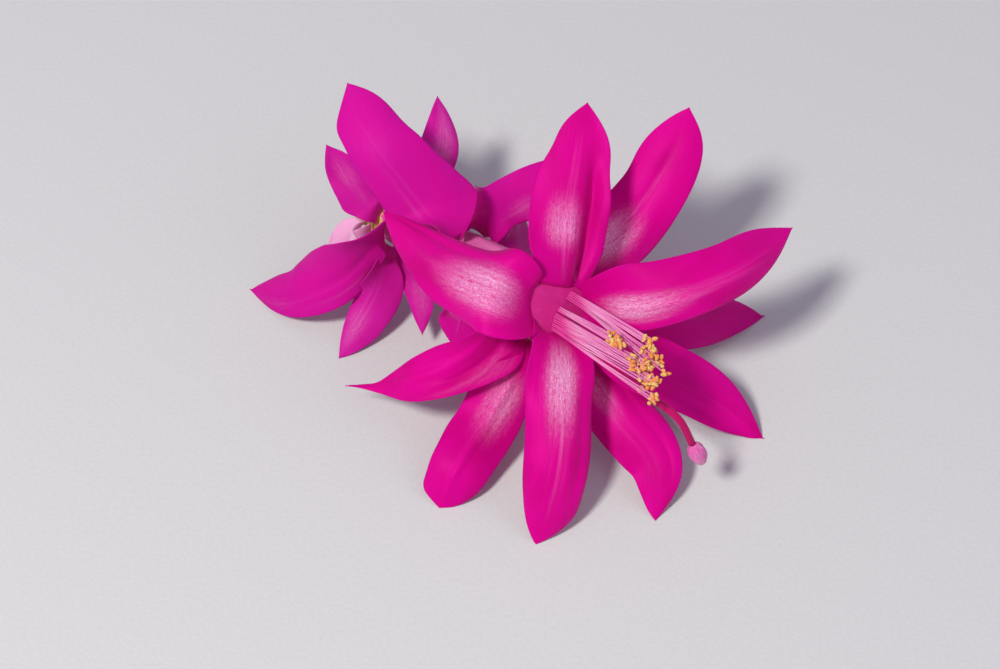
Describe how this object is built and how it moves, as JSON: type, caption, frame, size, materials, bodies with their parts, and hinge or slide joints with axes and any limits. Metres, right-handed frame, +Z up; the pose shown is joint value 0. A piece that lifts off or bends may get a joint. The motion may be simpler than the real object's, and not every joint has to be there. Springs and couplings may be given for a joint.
{
  "type": "thanksgiving cactus flower",
  "caption": "Picked magenta cactus flower lying on its side, with long pointed petals in tiers along a curved tube, a spray of stamens and a drooping style.",
  "frame": {"origin": "middle of the bounding box, on the surface that the flower lies on", "axes": "+X along the flower, from the ovary end to the side petals; +Y away from the viewer; +Z up"},
  "size_m": [0.091, 0.077, 0.0423],
  "materials": {
    "petal": "satin, with a fine pearly sheen",
    "petal_basal": "satin",
    "petal_pale": "satin, thin and pale",
    "tube": "satin",
    "ovary": "smooth",
    "stamen": "fine threads with mealy anthers",
    "style": "smooth",
    "stigma": "soft, finely warty"
  },
  "bodies": {
    "root": {"tube": "tube", "ovary": "ovary", "petal_inner_left": "petal", "petal_inner_top": "petal", "petal_inner_right": "petal", "petal_inner_lower_right": "petal", "petal_inner_bottom": "petal", "petal_outer_upper_right": "petal", "petal_outer_right": "petal", "petal_outer_lower": "petal", "petal_outer_lower_left": "petal", "petal_outer_left": "petal", "petal_middle_large": "petal", "petal_middle_upper": "petal", "petal_middle_low": "petal", "petal_middle_far": "petal", "petal_basal_top": "petal_basal", "petal_basal_upper_left": "petal_basal", "petal_basal_left": "petal", "petal_basal_lower_left": "petal_basal", "petal_basal_bottom": "petal_basal", "petal_basal_pale": "petal_pale", "stamens": "stamen", "style": "style", "stigma": "stigma"}
  },
  "joints": []
}
